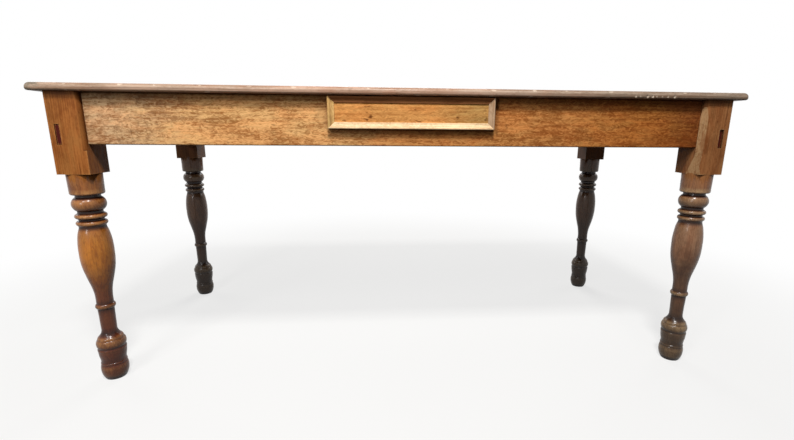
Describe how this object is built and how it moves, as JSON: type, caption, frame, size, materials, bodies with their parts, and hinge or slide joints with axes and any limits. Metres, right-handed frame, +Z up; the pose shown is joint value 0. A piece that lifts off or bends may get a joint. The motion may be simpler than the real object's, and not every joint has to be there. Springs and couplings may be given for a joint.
{
  "type": "farmhouse table",
  "caption": "Long wooden kitchen table with turned legs, square leg blocks, a plain apron and a drawer with a mitred frame.",
  "frame": {"origin": "on the floor under the middle of the top", "axes": "+X along the table to the right as seen from the drawer side, +Y from the drawer side to the back, +Z up"},
  "size_m": [1.739, 0.719, 0.762],
  "materials": {
    "top_wood": "worn, waxed",
    "leg_wood": "polished, worn",
    "rail_wood": "waxed, scratched",
    "inner_wood": "raw, aged",
    "drawer_front_wood": "waxed",
    "drawer_inner_wood": "raw",
    "moulding_wood": "pale, satin"
  },
  "bodies": {
    "table_frame": {"top_board_front": "top_wood", "top_board_front_middle": "top_wood", "top_board_middle": "top_wood", "top_board_back_middle": "top_wood", "top_board_back": "top_wood", "leg_front_left": "leg_wood", "leg_front_right": "leg_wood", "leg_back_left": "leg_wood", "leg_back_right": "leg_wood", "front_rail": "rail_wood", "back_rail": "rail_wood", "end_rail_left": "rail_wood", "end_rail_right": "rail_wood", "drawer_runner_left": "inner_wood", "drawer_runner_right": "inner_wood", "drawer_guide_left": "inner_wood", "drawer_guide_right": "inner_wood", "glue_blocks_front_left": "inner_wood", "glue_blocks_front_right": "inner_wood", "glue_blocks_back": "inner_wood", "glue_blocks_left": "inner_wood", "glue_blocks_right": "inner_wood"},
    "drawer": {"drawer_front": "drawer_front_wood", "drawer_side_left": "drawer_inner_wood", "drawer_side_right": "drawer_inner_wood", "drawer_back": "drawer_inner_wood", "drawer_bottom": "drawer_inner_wood", "drawer_moulding_bottom": "moulding_wood", "drawer_moulding_top": "moulding_wood", "drawer_moulding_left": "moulding_wood", "drawer_moulding_right": "moulding_wood"}
  },
  "joints": [
    {"name": "drawer_slide", "type": "slide", "parent": "table_frame", "child": "drawer", "axis": [0, -1, 0], "range_m": [0, 0.34]}
  ]
}
